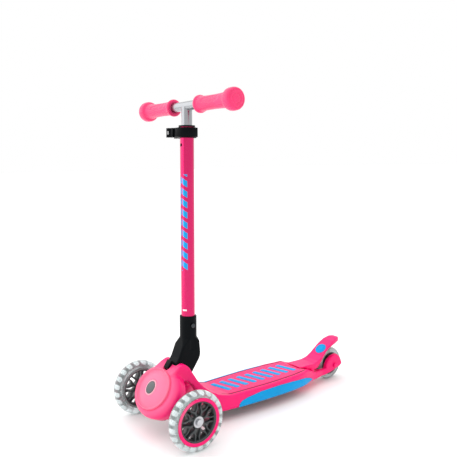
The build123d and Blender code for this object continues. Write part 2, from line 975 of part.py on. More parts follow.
def main():
    os.makedirs("parts", exist_ok=True)
    inlay = side_inlay()
    pieces = {
        "deck": deck(),
        "cover_face": cover_face(),
        "lock_bezel": lock_bezel(),
        "lock_button": lock_button(),
        "under_cover": under_cover(),
        "kingpin": kingpin(),
        "kingpin_nut": kingpin_nut(),
        "side_inlay_left": inlay,
        "side_inlay_right": mirrored(inlay),
        "grip_marks": marks(0),
        "under_plate": under_plate(),
        "under_screws": under_screws(),
        "steering_truck": steering_truck(),
        "kingpin_bushes": kingpin_bushes(),
        "steering_spring": steering_spring(),
        "front_axles": front_axles(),
        "axle_spacers": axle_spacers(),
        "dynamo_magnets": dynamo_cores(),
        "rear_tyre": rear_tyre(),
        "rear_core": rear_core(),
        "rear_bearings": bearing_pair(rear_axle_y, rear_tyre_r, 0, 9.2, axle_r),
        "rear_spacers": rear_spacers(),
        "rear_axle": rear_axle(),
        "rear_axle_nut": rear_axle_nut(),
        "rear_brake": rear_brake(),
        "brake_badge": brake_badge(),
        "brake_pin": brake_pin(),
        "brake_spring": brake_spring(),
        "stem_elbow": stem_elbow(),
        "fold_pawl": fold_pawl(),
        "fold_button": fold_button(),
        "pivot_pin": pivot_pin(),
        "outer_tube": outer_tube(),
        "holder_bolt": holder_bolt(),
        "holder_nut": holder_nut(),
        "tube_bushing": tube_bushing(),
        "clamp_collar": clamp_collar(),
        "clamp_bolt": clamp_bolt(),
        "clamp_nut": clamp_nut(),
        "clamp_washer": clamp_washer(),
        "cam_pin": cam_pin(),
        "clamp_lever": clamp_lever(),
        "inner_tube": inner_tube(),
        "cross_tube": cross_tube(),
        "grip_left": grip(),
        "grip_right": mirrored(grip()),
        "snap_button": snap_button(),
        "snap_spring": snap_spring(),
    }
    for word, s in (("left", 1), ("right", -1)):
        pieces[f"{word}_tyre"] = front_tyre(s)
        pieces[f"{word}_lights"] = lights(s)
        pieces[f"{word}_ring"] = front_ring(s)
        pieces[f"{word}_core"] = front_core(s)
        pieces[f"{word}_bearings"] = bearing_pair(
            front_axle_y, front_tyre_r, s * half_track, 9.2, axle_r
        )
    for name, shape in pieces.items():
        save(name, shape)


main()
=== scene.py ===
import math

import bmesh
import bpy
from mathutils import Matrix, Vector


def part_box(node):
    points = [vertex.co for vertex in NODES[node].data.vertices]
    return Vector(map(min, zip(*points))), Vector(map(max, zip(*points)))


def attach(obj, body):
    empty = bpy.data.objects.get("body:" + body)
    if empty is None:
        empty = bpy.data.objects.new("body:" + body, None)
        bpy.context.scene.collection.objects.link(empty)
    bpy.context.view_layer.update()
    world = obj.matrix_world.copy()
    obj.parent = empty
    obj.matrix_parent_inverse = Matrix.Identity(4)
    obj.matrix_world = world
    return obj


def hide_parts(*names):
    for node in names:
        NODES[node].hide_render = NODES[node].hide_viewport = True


bl_info = {
    "name": "Three-wheel kick scooter",
    "version": (1, 0, 0),
    "blender": (4, 5, 0),
    "location": "View3D > Sidebar > Scooter",
    "description": "Builds the moulded, turned and bent pieces of a folding kick scooter",
    "category": "Add Mesh",
}

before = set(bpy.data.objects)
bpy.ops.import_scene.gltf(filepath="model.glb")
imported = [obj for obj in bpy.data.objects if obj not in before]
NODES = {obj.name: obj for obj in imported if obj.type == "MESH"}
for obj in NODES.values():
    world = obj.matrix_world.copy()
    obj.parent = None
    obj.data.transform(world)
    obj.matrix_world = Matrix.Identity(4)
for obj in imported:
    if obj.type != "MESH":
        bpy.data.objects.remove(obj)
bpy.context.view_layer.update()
MM = 0.001


def centre_of(node):
    low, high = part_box(node)
    return (low + high) / 2


FRONT_AXLE = centre_of("left_tyre")
REAR_AXLE = centre_of("rear_tyre")
BAR = centre_of("cross_tube")
TILT = math.radians(35)
RAKE = math.radians(1.27)
FOOT_Y = BAR.y - BAR.z * math.tan(RAKE)
BEZEL = centre_of("lock_bezel")
FACE_OUT = BEZEL.z * math.sin(TILT) - BEZEL.y * math.cos(TILT)
SEAM_IN = 0.0102

TRIM_BLUE = (0.0, 0.31, 0.68)
PINK = (0.90, 0.002, 0.155)
# Paler pink for the front of the cup and the front face: painted highlight on the pink shell.
PAINTED_HIGHLIGHT_PINK = (0.85, 0.13, 0.26)


# ---- node building ----------------------------------------------------------


class Val:
    """A node's output that can be used in Python arithmetic."""

    def __init__(self, kit, out):
        self.kit = kit
        self.out = out

    def _m(self, op, *args):
        return self.kit.add("ShaderNodeMath", dict(enumerate(args)), operation=op)[0]

    def __add__(self, o):
        return self._m("ADD", self, o)

    def __radd__(self, o):
        return self._m("ADD", o, self)

    def __sub__(self, o):
        return self._m("SUBTRACT", self, o)

    def __rsub__(self, o):
        return self._m("SUBTRACT", o, self)

    def __mul__(self, o):
        return self._m("MULTIPLY", self, o)

    def __rmul__(self, o):
        return self._m("MULTIPLY", o, self)

    def __truediv__(self, o):
        return self._m("DIVIDE", self, o)

    def __abs__(self):
        return self._m("ABSOLUTE", self)

    def __lt__(self, o):
        return self._m("LESS_THAN", self, o)

    def wrap(self, o):
        return self._m("FLOORED_MODULO", self, o)

    def ramp(self, low, high):
        """0 below low, 1 above high, smooth between."""
        node = self.kit.add(
            "ShaderNodeMapRange",
            {"Value": self, "From Min": low, "From Max": high},
            interpolation_type="SMOOTHSTEP",
        )
        return node["Result"]

    def slope(self, low, high):
        """0 below low, 1 above high, straight between."""
        node = self.kit.add(
            "ShaderNodeMapRange", {"Value": self, "From Min": low, "From Max": high}
        )
        return node["Result"]


class Made:
    """A node just added; its outputs are read by name or number."""

    def __init__(self, kit, node):
        self.kit = kit
        self.node = node

    def __getitem__(self, key):
        return Val(self.kit, self.node.outputs[key])


class Kit:
    """Adds nodes to one tree."""

    def __init__(self, tree):
        self.tree = tree

    def add(self, kind, links=None, **settings):
        node = self.tree.nodes.new(kind)
        for key, value in settings.items():
            setattr(node, key, value)
        for key, value in (links or {}).items():
            if isinstance(value, Val):
                self.tree.links.new(value.out, node.inputs[key])
            else:
                node.inputs[key].default_value = value
        return Made(self, node)

    def split(self, vector):
        node = self.add("ShaderNodeSeparateXYZ", {0: vector})
        return node["X"], node["Y"], node["Z"]

    def blend(self, share, a, b):
        """Mix of two colours."""
        node = self.add("ShaderNodeMix", data_type="RGBA")
        self.tree.links.new(share.out, node.node.inputs[0])
        for slot, colour in ((6, a), (7, b)):
            if isinstance(colour, Val):
                self.tree.links.new(colour.out, node.node.inputs[slot])
            else:
                node.node.inputs[slot].default_value = colour
        return Val(self, node.node.outputs[2])

    def noise(self, scale, detail=2.0, rough=0.5, at=None):
        coords = at if at is not None else self.place()
        node = self.add(
            "ShaderNodeTexNoise",
            {"Vector": coords, "Scale": scale, "Detail": detail, "Roughness": rough},
        )
        return node["Fac"]

    def place(self):
        return self.add("ShaderNodeTexCoord")["Object"]


class Finish(Kit):
    """One material with its shader."""

    def __init__(self, name, **fixed):
        self.mat = bpy.data.materials.new(name)
        self.mat.use_nodes = True
        super().__init__(self.mat.node_tree)
        self.shader = self.tree.nodes["Principled BSDF"]
        for key, value in fixed.items():
            self.shader.inputs[key.replace("_", " ")].default_value = value

    def feed(self, key, value):
        self.tree.links.new(value.out, self.shader.inputs[key])

    def bump(self, height, distance, strength=1.0):
        node = self.add(
            "ShaderNodeBump", {"Height": height, "Distance": distance, "Strength": strength}
        )
        self.feed("Normal", node["Normal"])


def rgba(colour, gain=1.0):
    return (colour[0] * gain, colour[1] * gain, colour[2] * gain, 1.0)


# ---- finishes ---------------------------------------------------------------

FINISH = {}


def moulded(name, colour, rough=0.36, stipple=0.00003, gloss=0.3, extra=None):
    """Injection moulded plastic: faint flow mottling, fine stipple, slightly uneven gloss."""
    kit = Finish(name, Specular_IOR_Level=gloss, IOR=1.48)
    flow = kit.noise(9.0, 3.0)
    fine = kit.noise(1400.0, 2.0)
    scuff = kit.noise(70.0, 4.0, 0.6)
    base = kit.blend(flow.ramp(0.3, 0.75), rgba(colour, 0.95), rgba(colour, 1.04))
    height = fine
    if extra:
        base, height = extra(kit, base, height)
    kit.feed("Base Color", base)
    kit.feed("Roughness", rough - 0.03 + scuff * 0.08)
    kit.bump(height, stipple)
    FINISH[name] = kit.mat


def slope(value, low, high):
    if isinstance(value, Val):
        return value.slope(low, high)
    return min(1.0, max(0.0, (value - low) / (high - low)))


BOARD_STEPS = (
    (0.0, 0.050, 0.0084), (0.050, 0.100, 0.0038), (0.100, 0.170, 0.0028),
    (0.210, 0.260, -0.0026), (0.260, 0.300, -0.0058), (0.300, 0.340, -0.0140),
)


def board_half_width(aft):
    """Half width of the board's outline at a distance aft of the stem's foot."""
    width = 0.0440
    for low, high, change in BOARD_STEPS:
        width = slope(aft, low, high) * change + width
    return width


def board_lines_and_painted_light(kit, base, height):
    """Dark painted shade in the seam groove round the top pad, trim line on the right-hand edge, painted
    highlight on the front of the cup.
    """
    x, y, z = kit.split(kit.place())
    aft = y - FOOT_Y
    inset = board_half_width(aft) - abs(x)
    flat = z.ramp(0.0535, 0.0545)
    run = aft.ramp(0.055, 0.058) * (1 - aft.ramp(0.304, 0.306))
    seam = (1 - abs(inset - SEAM_IN).ramp(0.0013, 0.0023)) * flat * run
    edge = (1 - inset.ramp(0.0078, 0.0084)) * z.ramp(0.0490, 0.0500) * (x < 0.0)
    edge = edge * aft.ramp(0.050, 0.060) * (1 - aft.ramp(0.235, 0.250))
    # Painted highlight: the front of the cup is blended towards a paler pink by its position, where the
    # front light falls.
    out = z * math.sin(TILT) - y * math.cos(TILT) - FACE_OUT
    front = out.ramp(-0.016, -0.004) * (1 - aft.ramp(-0.04, -0.02)) * 0.6
    base = kit.blend(front, base, rgba(PAINTED_HIGHLIGHT_PINK))
    # Painted shade: a near-black line in the seam groove stands in for the shade inside the groove.
    base = kit.blend(seam, base, (0.10, 0.0, 0.02, 1))
    return kit.blend(edge, base, rgba(TRIM_BLUE)), height - seam * 3


def clear_polymer(name):
    """Water-clear polyurethane with a grey cast and a moulding texture."""
    kit = Finish(name, IOR=1.36, Transmission_Weight=0.74, Coat_Weight=0.5, Coat_Roughness=0.06)
    haze = kit.noise(60.0, 3.0)
    base = kit.blend(haze.ramp(0.3, 0.7), (0.34, 0.39, 0.39, 1), (0.48, 0.53, 0.53, 1))
    kit.feed("Base Color", base)
    kit.feed("Roughness", 0.22 + haze * 0.16)
    kit.bump(kit.noise(400.0, 2.0), 0.00005)
    FINISH[name] = kit.mat


def turned_metal(name, colour, rough, along, coat=0.0, extra=None):
    """Drawn or turned metal: very fine lines along one axis and soft handling marks."""
    kit = Finish(name, Metallic=1.0, Coat_Weight=coat, Coat_Roughness=0.08, Coat_IOR=1.9)
    stretch = {"X": (20.0, 900.0, 900.0), "Z": (900.0, 900.0, 14.0)}[along]
    vec = kit.add("ShaderNodeMapping", {"Vector": kit.place(), "Scale": stretch})["Vector"]
    lines = kit.noise(1.0, 3.0, 0.6, at=vec)
    marks = kit.noise(45.0, 3.0, 0.6)
    base = kit.blend(lines.ramp(0.25, 0.8), rgba(colour, 0.95), rgba(colour, 1.03))
    height = lines
    if extra:
        base, height = extra(kit, base, height)
    kit.feed("Base Color", base)
    kit.feed("Roughness", rough + marks * 0.08 + lines * 0.05)
    kit.bump(height, 0.000012)
    FINISH[name] = kit.mat


def soft_grip(name, colour):
    """Soft rubber: fine leather-like grain, sheen, tiny pits."""
    kit = Finish(name, Sheen_Weight=0.25, Sheen_Roughness=0.4, IOR=1.45)
    cell = kit.add(
        "ShaderNodeTexVoronoi",
        {"Vector": kit.place(), "Scale": 1100.0},
        feature="SMOOTH_F1",
    )["Distance"]
    cloud = kit.noise(22.0, 3.0)
    kit.feed("Base Color", kit.blend(cloud.ramp(0.3, 0.7), rgba(colour, 0.93), rgba(colour, 1.06)))
    kit.feed("Roughness", 0.42 + cloud * 0.12)
    kit.bump(cell, 0.00008)
    FINISH[name] = kit.mat


# the chevrons up the stem tube, and the white mark at its foot
GRAPHIC_X = 0.001
GRAPHIC_HALF_W = 0.0108
GRAPHIC_LOW = 0.3285
GRAPHIC_HIGH = 0.5265
CHEVRON_STEP = 0.0212
CHEVRON_TALL = 0.0128
CHEVRON_SLOPE = 0.8
MARK_X = 0.006
MARK_Z = 0.2465


def tube_graphic(kit, base, height):
    """Generic chevrons up the front of the stem tube, and a small white mark at its foot."""
    x, y, z = kit.split(kit.place())
    front = (y - z * math.tan(RAKE)) < FOOT_Y
    across = abs(x - GRAPHIC_X)
    wave = (z + across * CHEVRON_SLOPE).wrap(CHEVRON_STEP)
    stripe = wave.ramp(0.0, 0.0006) * (1 - wave.ramp(CHEVRON_TALL, 0.0134))
    side = 1 - across.ramp(GRAPHIC_HALF_W, 0.0113)
    spine = 1 - across.ramp(0.0012, 0.0017) * (1 - across.ramp(0.0026, 0.0031))
    ends = z.ramp(GRAPHIC_LOW, 0.3292) * (1 - z.ramp(GRAPHIC_HIGH, 0.5272))
    ink = stripe * side * ends * front * spine
    label = 1 - abs(z - MARK_Z).ramp(0.0016, 0.002)
    label = label * (1 - abs(x - MARK_X).ramp(0.004, 0.0044)) * front
    label = label * x.wrap(0.0021).ramp(0.0004, 0.0008)
    return kit.blend(label, kit.blend(ink, base, rgba(TRIM_BLUE)), (0.9, 0.9, 0.9, 1)), height


def lamp_finish(name):
    kit = Finish(name, Emission_Strength=0.8)
    kit.feed("Base Color", kit.blend(kit.noise(300.0), (0.9, 0.92, 0.93, 1), (1, 1, 1, 1)))
    kit.feed("Emission Color", kit.blend(kit.noise(200.0), (0.92, 0.97, 1, 1), (1, 1, 1, 1)))
    kit.shader.inputs["Roughness"].default_value = 0.3
    FINISH[name] = kit.mat


def make_finishes(look):
    moulded("shell_pink", look.shell, 0.34, extra=board_lines_and_painted_light)
    moulded("brake_pink", look.shell, 0.34)
    # The front face finish is a paler copy of the shell pink: painted highlight where the front light
    # falls.
    moulded("face_pink_painted_highlight", look.face, 0.42, gloss=0.6)
    moulded("trim_blue", look.trim, 0.36, gloss=0.15)
    moulded("black_plastic", (0.002, 0.003, 0.004), 0.34, 0.00004, 0.07)
    moulded("button_grey", (0.07, 0.08, 0.085), 0.35, gloss=0.5)
    moulded("core_grey", (0.030, 0.036, 0.038), 0.30, gloss=0.6)
    moulded("inner_grey", (0.20, 0.22, 0.22), 0.4)
    # Still paler pink for the bezel ring: painted highlight on the lock button's ring.
    moulded("ring_pink_painted_highlight", (0.86, 0.36, 0.45), 0.3, gloss=0.6)
    moulded("nylon_white", (0.72, 0.72, 0.68), 0.45)
    clear_polymer("tyre_clear")
    lamp_finish("lamp_white")
    turned_metal("zinc_steel", (0.55, 0.56, 0.58), 0.26, "X")
    turned_metal("dark_zinc", (0.06, 0.065, 0.07), 0.35, "X")
    turned_metal("silver_tube", (0.27, 0.28, 0.30), 0.22, "Z", 1.0)
    turned_metal("silver_bar", (0.30, 0.31, 0.33), 0.24, "X", 0.7)
    turned_metal("tube_pink", (0.60, 0.003, 0.11), 0.2, "Z", 0.25, tube_graphic)
    soft_grip("grip_pink", (0.84, 0.028, 0.155))


# ---- mesh helpers -----------------------------------------------------------


def keep(name, mesh, body, finish=None, replaces=()):
    """Links a finished mesh as a piece on a body."""
    mesh.name = name
    obj = bpy.data.objects.new(name, mesh)
    bpy.context.scene.collection.objects.link(obj)
    if finish:
        mesh.materials.clear()
        mesh.materials.append(FINISH[finish])
    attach(obj, body)
    if replaces:
        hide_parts(*replaces)


def stand_in(node, name, mesh, body, finish):
    """Links a finished mesh that takes the place of one CAD node."""
    keep(name, mesh, body, finish=finish, replaces=(node,))


def from_bmesh(bm):
    bmesh.ops.remove_doubles(bm, verts=bm.verts, dist=1e-6)
    bmesh.ops.recalc_face_normals(bm, faces=bm.faces)
    mesh = bpy.data.meshes.new("work")
    bm.to_mesh(mesh)
    bm.free()
    mesh.polygons.foreach_set("use_smooth", [True] * len(mesh.polygons))
    return mesh


def finished(mesh, modifiers):
    """Runs modifiers on a mesh and returns the plain result."""
    obj = bpy.data.objects.new("work", mesh)
    bpy.context.scene.collection.objects.link(obj)
    for kind, settings in modifiers:
        mod = obj.modifiers.new(kind.lower(), kind)
        for key, value in settings.items():
            setattr(mod, key, value)
    bpy.context.view_layer.update()
    graph = bpy.context.evaluated_depsgraph_get()
    result = bpy.data.meshes.new_from_object(obj.evaluated_get(graph))
    bpy.data.objects.remove(obj)
    return result


def copy_of(node):
    """Merged copy of a CAD node's mesh."""
    bm = bmesh.new()
    bm.from_mesh(NODES[node].data)
    bmesh.ops.remove_doubles(bm, verts=bm.verts, dist=2e-6)
    mesh = bpy.data.meshes.new("work")
    bm.to_mesh(mesh)
    bm.free()
    return mesh


def softened(node, voxel, rounds, factor=0.5):
    """Copy of a CAD node with every edge rounded as a mould would leave it."""
    mesh = finished(
        copy_of(node),
        [
            ("REMESH", {"mode": "VOXEL", "voxel_size": voxel * MM, "adaptivity": 0.0}),
            ("SMOOTH", {"factor": factor, "iterations": rounds}),
        ],
    )
    mesh.polygons.foreach_set("use_smooth", [True] * len(mesh.polygons))
    return mesh


def bevelled(node, width, segments=2, angle=35):
    """Copy of a CAD node with small bevels on its sharp edges."""
    bm = bmesh.new()
    bm.from_mesh(NODES[node].data)
    bmesh.ops.remove_doubles(bm, verts=bm.verts, dist=2e-6)
    bmesh.ops.dissolve_limit(bm, angle_limit=math.radians(1), verts=bm.verts, edges=bm.edges)
    mesh = from_bmesh(bm)
    bevel = {
        "width": width * MM,
        "segments": segments,
        "limit_method": "ANGLE",
        "angle_limit": math.radians(angle),
        "harden_normals": True,
    }
    return finished(mesh, [("BEVEL", bevel)])


def turned(profile, centre, steps=96):
    """Closed solid of revolution about a line along X; profile is (x, radius) in mm."""
    bm = bmesh.new()
    rings = []
    for x, r in profile:
        count = 1 if r < 1e-6 else steps
        ring = []
        for i in range(count):
            a = 2 * math.pi * i / steps
            ring.append(bm.verts.new((x * MM, r * MM * math.cos(a), r * MM * math.sin(a))))
        rings.append(ring)
    for a, b in zip(rings, rings[1:] + rings[:1]):
        if len(a) == 1 and len(b) == 1:
            continue
        for i in range(steps):
            j = (i + 1) % steps
            quad = [a[i % len(a)], a[j % len(a)], b[j % len(b)], b[i % len(b)]]
            unique = list(dict.fromkeys(quad))
            if len(unique) > 2:
                bm.faces.new(unique)
    bmesh.ops.translate(bm, verts=bm.verts, vec=centre)
    return from_bmesh(bm)


def king_frame(centre):
    """Axes of the tilted king pin: across, up the face, out of the face."""
    out = Vector((0, -math.cos(TILT), math.sin(TILT)))
    up = Vector((0, math.sin(TILT), math.cos(TILT)))
    m = Matrix((Vector((1, 0, 0)), up, out)).transposed().to_4x4()
    m.translation = centre
    return m


def rounded_bar(bm, size, bevel):
    bmesh.ops.create_cube(bm, size=1.0)
    bmesh.ops.scale(bm, verts=bm.verts, vec=size)
    bmesh.ops.bevel(bm, geom=bm.edges[:], offset=bevel, segments=3, affect="EDGES", profile=0.5)


# ---- geometry nodes ---------------------------------------------------------


def ring_tree():
    """Repeats its input round the X axis."""
    tree = bpy.data.node_groups.new("repeat_round", "GeometryNodeTree")
    face = tree.interface
    face.new_socket("Geometry", in_out="INPUT", socket_type="NodeSocketGeometry")
    face.new_socket("Count", in_out="INPUT", socket_type="NodeSocketInt")
    face.new_socket("Start", in_out="INPUT", socket_type="NodeSocketFloat")
    face.new_socket("Centre", in_out="INPUT", socket_type="NodeSocketVector")
    face.new_socket("Finish", in_out="INPUT", socket_type="NodeSocketMaterial")
    face.new_socket("Geometry", in_out="OUTPUT", socket_type="NodeSocketGeometry")
    kit = Kit(tree)
    given = kit.add("NodeGroupInput")
    points = kit.add("GeometryNodePoints", {"Count": given["Count"], "Position": given["Centre"]})
    index = kit.add("GeometryNodeInputIndex")["Index"]
    turn = given["Start"] + index * (2 * math.pi) / given["Count"]
    spin = kit.add("ShaderNodeCombineXYZ", {"X": turn})["Vector"]
    copies = kit.add(
        "GeometryNodeInstanceOnPoints",
        {"Points": points["Points"], "Instance": given["Geometry"], "Rotation": spin},
    )
    real = kit.add("GeometryNodeRealizeInstances", {"Geometry": copies["Instances"]})
    painted = kit.add(
        "GeometryNodeSetMaterial", {"Geometry": real["Geometry"], "Material": given["Finish"]}
    )
    kit.add("NodeGroupOutput", {"Geometry": painted["Geometry"]})
    return tree


def ringed(mesh, number, start, centre, finish):
    """Copies of a mesh round a wheel, from a starting angle, as one plain mesh."""
    return repeated(
        mesh,
        TREES["round"],
        Count=number,
        Start=start,
        Centre=tuple(centre),
        Finish=FINISH[finish],
    )


def repeated(mesh, tree, **values):
    """Runs a repeat tree on a mesh and returns the plain result."""
    obj = bpy.data.objects.new("work", mesh)
    bpy.context.scene.collection.objects.link(obj)
    mod = obj.modifiers.new("repeat", "NODES")
    mod.node_group = tree
    for item in tree.interface.items_tree:
        if item.in_out == "INPUT" and item.name in values:
            mod[item.identifier] = values[item.name]
    bpy.context.view_layer.update()
    graph = bpy.context.evaluated_depsgraph_get()
    result = bpy.data.meshes.new_from_object(obj.evaluated_get(graph))
    bpy.data.objects.remove(obj)
    result.polygons.foreach_set("use_smooth", [True] * len(result.polygons))
    return result


TREES = {}


# ---- settings ---------------------------------------------------------------


def length(name, text, default):
    return bpy.props.FloatProperty(
        name=name, description=text, default=default, min=0.0, unit="LENGTH", subtype="DISTANCE"
    )


def count(name, text, default):
    return bpy.props.IntProperty(name=name, description=text, default=default, min=3)


def colour(name, text, default):
    return bpy.props.FloatVectorProperty(
        name=name, description=text, default=default, size=3, min=0.0, max=1.0, subtype="COLOR"
    )


class ScooterLook(bpy.types.PropertyGroup):
    shell: colour("Shell", "Main moulded colour", PINK)
    # The default front face colour is a paler pink: painted highlight on the pink shell.
    face: colour("Front face", "Paler front face", PAINTED_HIGHLIGHT_PINK)
    trim: colour("Trim", "Inlay and graphic colour", TRIM_BLUE)


class ScooterSizes(bpy.types.PropertyGroup):
    spokes: count("Spokes", "Forked spokes in a front wheel", 8)
    lamps: count("Lamps", "Lamps in a front tyre", 20)
    rim_fall: length("Rim fall", "How far the board's edge falls outside its seam", 0.0024)
    seam_depth: length("Seam depth", "Depth of the groove round the board's pad", 0.0010)
    pad_depth: length("Grip pad", "Depth of the oval pads in the grips", 0.0009)
    edge_round: length("Edge rounding", "Voxel size used to round moulded edges", 0.0014)


# ---- pieces -----------------------------------------------------------------

LAMP_SIZE = (0.0138, 0.0062, 0.0098)
LAMP_ROUND = 0.0028
LAMP_OUT = 0.0531
SPOKE_DEEP = 16.4

# the oval pads of a grip: middle and half length along the bar, half turn round it
PAD_MIDDLE = 0.097
PAD_HALF_L = 0.030
PAD_HALF_TURN = 0.52
PAD_FACINGS = (math.pi - 0.35, 0.35)
PAD_EASE = 0.14
GRIP_SKIN_R = 0.0125


class Piece:
    bl_options = {"REGISTER", "UNDO"}

    def execute(self, context):
        self.build(context.scene.scooter_look, context.scene.scooter_sizes)
        return {"FINISHED"}


class SCOOTER_OT_finishes(Piece, bpy.types.Operator):
    """Make every finish and the tree that repeats a piece round a wheel"""

    bl_idname = "scooter.finishes"
    bl_label = "Finishes"

    def build(self, look, sizes):
        make_finishes(look)
        TREES["round"] = ring_tree()


class SCOOTER_OT_deck(Piece, bpy.types.Operator):
    """Deck moulding with its front cup, cheeks and rear fork"""

    bl_idname = "scooter.deck"
    bl_label = "Deck"

    def build(self, look, sizes):
        mesh = softened("deck", sizes.edge_round / MM, 18)
        for v in mesh.vertices:
            aft = v.co.y - FOOT_Y
            inset = board_half_width(aft) - abs(v.co.x)
            run = slope(aft, 0.055, 0.085) * (1 - slope(aft, 0.285, 0.305)) * slope(v.co.z, 0.044, 0.0565)
            rim = slope(inset, 0.0100, 0.0)
            seam = 1 - slope(abs(inset - SEAM_IN), 0.0008, 0.0024)
            v.co.z -= (rim * rim * sizes.rim_fall + seam * sizes.seam_depth) * run
        stand_in("deck", "deck_moulding", mesh, "chassis", "shell_pink")


class SCOOTER_OT_front_face(Piece, bpy.types.Operator):
    """Domed front face with its raised rim, and the lock button's ring"""

    bl_idname = "scooter.front_face"
    bl_label = "Front face"

    def build(self, look, sizes):
        centre = centre_of("lock_bezel")
        place = king_frame(centre)
        heights = [
            (1.0, -6.0), (1.0, -2.8), (0.997, -1.0), (0.985, 0.2), (0.965, 0.8), (0.94, 0.7),
            (0.915, -0.4), (0.89, -2.0), (0.86, -2.6), (0.80, -2.3), (0.68, -0.6), (0.5, 1.7),
            (0.3, 3.3), (0.12, 4.1), (0.03, 4.3), (0.0, 3.9), (0.0, -6.0),
        ]
        bm = bmesh.new()
        steps = 128
        rings = []
        for share, h in heights:
            a = 16.2 + (52.8 - 16.2) * share
            b = 16.2 + (42.8 - 16.2) * share
            ring = []
            for i in range(steps):
                t = 2 * math.pi * i / steps
                ring.append(bm.verts.new((a * MM * math.cos(t), b * MM * math.sin(t), h * MM)))
            rings.append(ring)
        for a, b in zip(rings, rings[1:] + rings[:1]):
            for i in range(steps):
                j = (i + 1) % steps
                bm.faces.new((a[i], a[j], b[j], b[i]))
        bm.transform(place)
        # Painted highlight: the domed face takes the paler pink finish.
        stand_in("cover_face", "front_face", from_bmesh(bm), "chassis", "face_pink_painted_highlight")
        # Painted highlight: the lock button's ring takes the palest pink finish.
        stand_in("lock_bezel", "button_ring", bevelled("lock_bezel", 0.5), "chassis", "ring_pink_painted_highlight")
        button = bevelled("lock_button", 0.4)
        stand_in("lock_button", "lock_push_button", button, "lock_button", "button_grey")


class SCOOTER_OT_trim(Piece, bpy.types.Operator):
    """Blue side inlays and the raised marks on the board"""

    bl_idname = "scooter.trim"
    bl_label = "Trim"

    def build(self, look, sizes):
        for side in ("left", "right"):
            node = f"side_inlay_{side}"
            stand_in(node, f"inlay_{side}", bevelled(node, 0.5), "chassis", "trim_blue")
        stand_in("grip_marks", "board_marks", bevelled("grip_marks", 0.2), "chassis", "trim_blue")


class SCOOTER_OT_front_wheels(Piece, bpy.types.Operator):
    """Clear tyres, lamps, coloured rings and forked-spoke cores"""

    bl_idname = "scooter.front_wheels"
    bl_label = "Front wheels"

    def build(self, look, sizes):
        for side, body, s in (("left", "left_wheel", 1), ("right", "right_wheel", -1)):
            c = centre_of(f"{side}_tyre")
            tread = [
                (-10.2, 44.7), (-11.6, 46.2), (-12, 48.0), (-12, 50.5), (-11.3, 53.4), (-9.6, 56.0),
                (-6.6, 58.0), (-3.2, 58.8), (0, 59.0), (3.2, 58.8), (6.6, 58.0), (9.6, 56.0),
                (11.3, 53.4), (12, 50.8), (12, 49.4), (11.4, 48.2), (9.3, 47.7), (9.0, 44.9),
            ]
            tread = [(s * x, r) for x, r in tread]
            stand_in(f"{side}_tyre", f"{side}_clear_tyre", turned(tread, c, 128), body, "tyre_clear")
            self.ring(side, body, c, s)
            self.lamps(side, body, c, sizes)
            self.core(side, body, c, sizes)

    def ring(self, side, body, c, s):
        """Coloured on the outboard side with a lip over the tyre; grey inboard."""
        outline = [
            (-11.4, 40.4), (-11.6, 42.4), (-11.0, 44.2), (-10.0, 44.6), (9.2, 44.7), (9.9, 46.8),
            (10.8, 47.3), (11.6, 46.6), (11.8, 44.0), (11.5, 41.6), (10.6, 40.3),
        ]
        mesh = turned([(s * x, r) for x, r in outline], c, 128)
        mesh.materials.append(FINISH["shell_pink"])
        mesh.materials.append(FINISH["inner_grey"])
        for face in mesh.polygons:
            face.material_index = 1 if (face.center.x - c.x) * s < 0.0 else 0
        keep(f"{side}_pink_ring", mesh, body, replaces=(f"{side}_ring",))

    def lamps(self, side, body, c, sizes):
        bm = bmesh.new()
        rounded_bar(bm, LAMP_SIZE, LAMP_ROUND)
        bmesh.ops.translate(bm, verts=bm.verts, vec=(0, LAMP_OUT, 0))
        mesh = ringed(from_bmesh(bm), sizes.lamps, 0.1, c, "lamp_white")
        keep(f"{side}_lamp_capsules", mesh, body, replaces=(f"{side}_lights",))

    def core(self, side, body, c, sizes):
        arm = [
            (10.5, -2.4), (15, -1.6), (18.5, -2.2), (21.5, -4.2), (25.5, -7.6), (30, -9.4), (37.4, -10.6),
            (37.6, -8.4), (31.0, -7.1), (27.0, -5.0), (23.4, -1.6), (22.6, 0),
        ]
        outline = arm + [(r, -t) for r, t in reversed(arm[:-1])]
        bm = bmesh.new()
        verts = [bm.verts.new((-SPOKE_DEEP / 2 * MM, r * MM, t * MM)) for r, t in outline]
        face = bm.faces.new(verts)
        out = bmesh.ops.extrude_face_region(bm, geom=[face])
        moved = [v for v in out["geom"] if isinstance(v, bmesh.types.BMVert)]
        bmesh.ops.translate(bm, verts=moved, vec=(SPOKE_DEEP * MM, 0, 0))
        bmesh.ops.recalc_face_normals(bm, faces=bm.faces)
        rims = [e for e in bm.edges if abs(e.verts[0].co.x - e.verts[1].co.x) < 1e-6]
        bmesh.ops.bevel(bm, geom=rims, offset=0.0007, segments=2, affect="EDGES", profile=0.5)
        spoke = ringed(from_bmesh(bm), sizes.spokes, 0.3, c, "core_grey")
        rim = [
            (-10, 39.9), (-10, 38.2), (-9.4, 37.2), (-3, 36.0),
            (3, 36.0), (9.4, 37.2), (10, 38.2), (10, 39.9),
        ]
        hub = [
            (-9.2, 11.1), (-9.2, 11.9), (-8.4, 12.8), (8.4, 12.8), (9.2, 11.9), (9.2, 11.1),
        ]
        bm = bmesh.new()
        for part in (spoke, turned(rim, c, 96), turned(hub, c, 64)):
            bm.from_mesh(part)
        mesh = bpy.data.meshes.new("core")
        bm.to_mesh(mesh)
        bm.free()
        mesh.polygons.foreach_set("use_smooth", [True] * len(mesh.polygons))
        keep(f"{side}_spoked_core", mesh, body, finish="core_grey", replaces=(f"{side}_core",))


